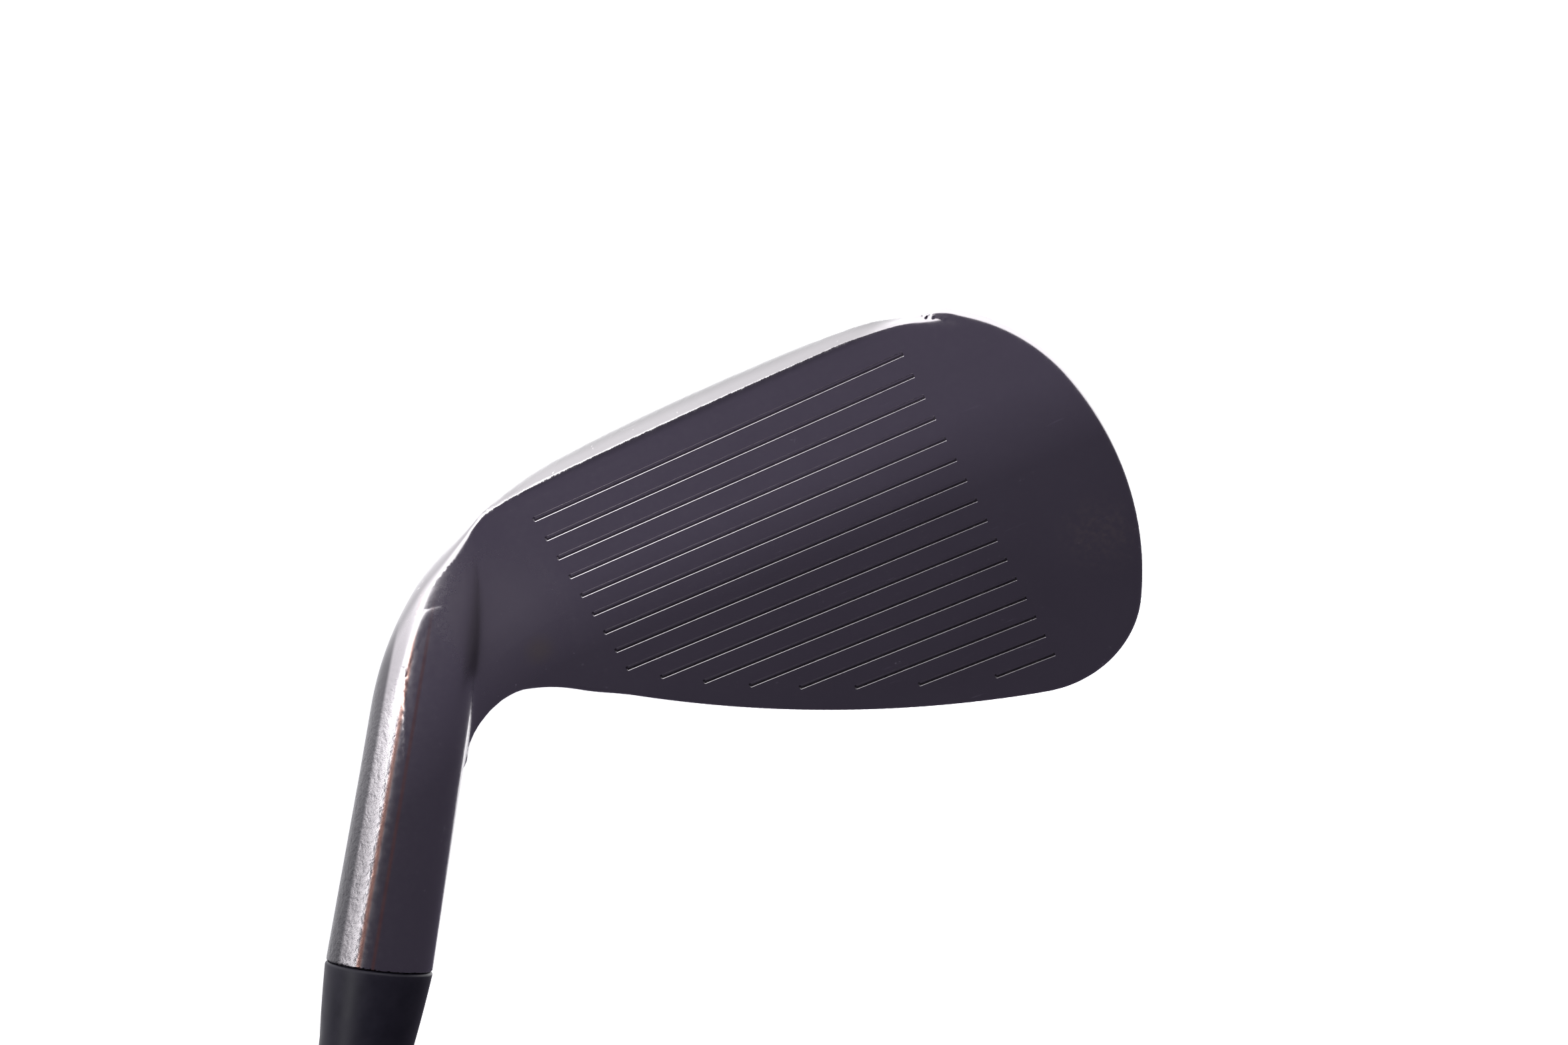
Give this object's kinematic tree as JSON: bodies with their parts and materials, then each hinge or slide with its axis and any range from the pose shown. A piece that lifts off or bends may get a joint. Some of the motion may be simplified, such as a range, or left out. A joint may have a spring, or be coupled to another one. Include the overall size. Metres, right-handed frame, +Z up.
{
  "type": "iron golf club",
  "caption": "Right-handed short iron with a scored face, cavity back, ferrule, stepped steel shaft and slip-on rubber grip.",
  "frame": {"origin": "where the sole touches the ground under the middle of the face, with the club at address", "axes": "+Z up, +X from toe to heel towards the golfer, -Y towards the target"},
  "size_m": [0.5001, 0.0531, 0.8198],
  "materials": {
    "head_metal": "dark satin plating, worn at the edges",
    "tungsten": "turned and ground flush",
    "foam_tape": "matt foam tape",
    "badge_metal": "brushed and anodised",
    "ferrule_plastic": "polished black",
    "adhesive": "cured epoxy",
    "shaft_chrome": "bright plated steel",
    "brass": "turned",
    "band_film": "satin film with plain rings",
    "paper_tape": "crepe paper",
    "grip_rubber": "moulded, with a fine raised pattern",
    "cap_rubber": "smooth moulded"
  },
  "bodies": {
    "root": {"club_head": "head_metal", "toe_weight": "tungsten", "badge_tape": "foam_tape", "cavity_badge": "badge_metal", "ferrule": "ferrule_plastic", "hosel_epoxy": "adhesive", "shaft": "shaft_chrome", "tip_weight": "brass", "shaft_band": "band_film", "grip_tape": "paper_tape", "grip": "grip_rubber", "grip_cap": "cap_rubber"}
  },
  "joints": []
}
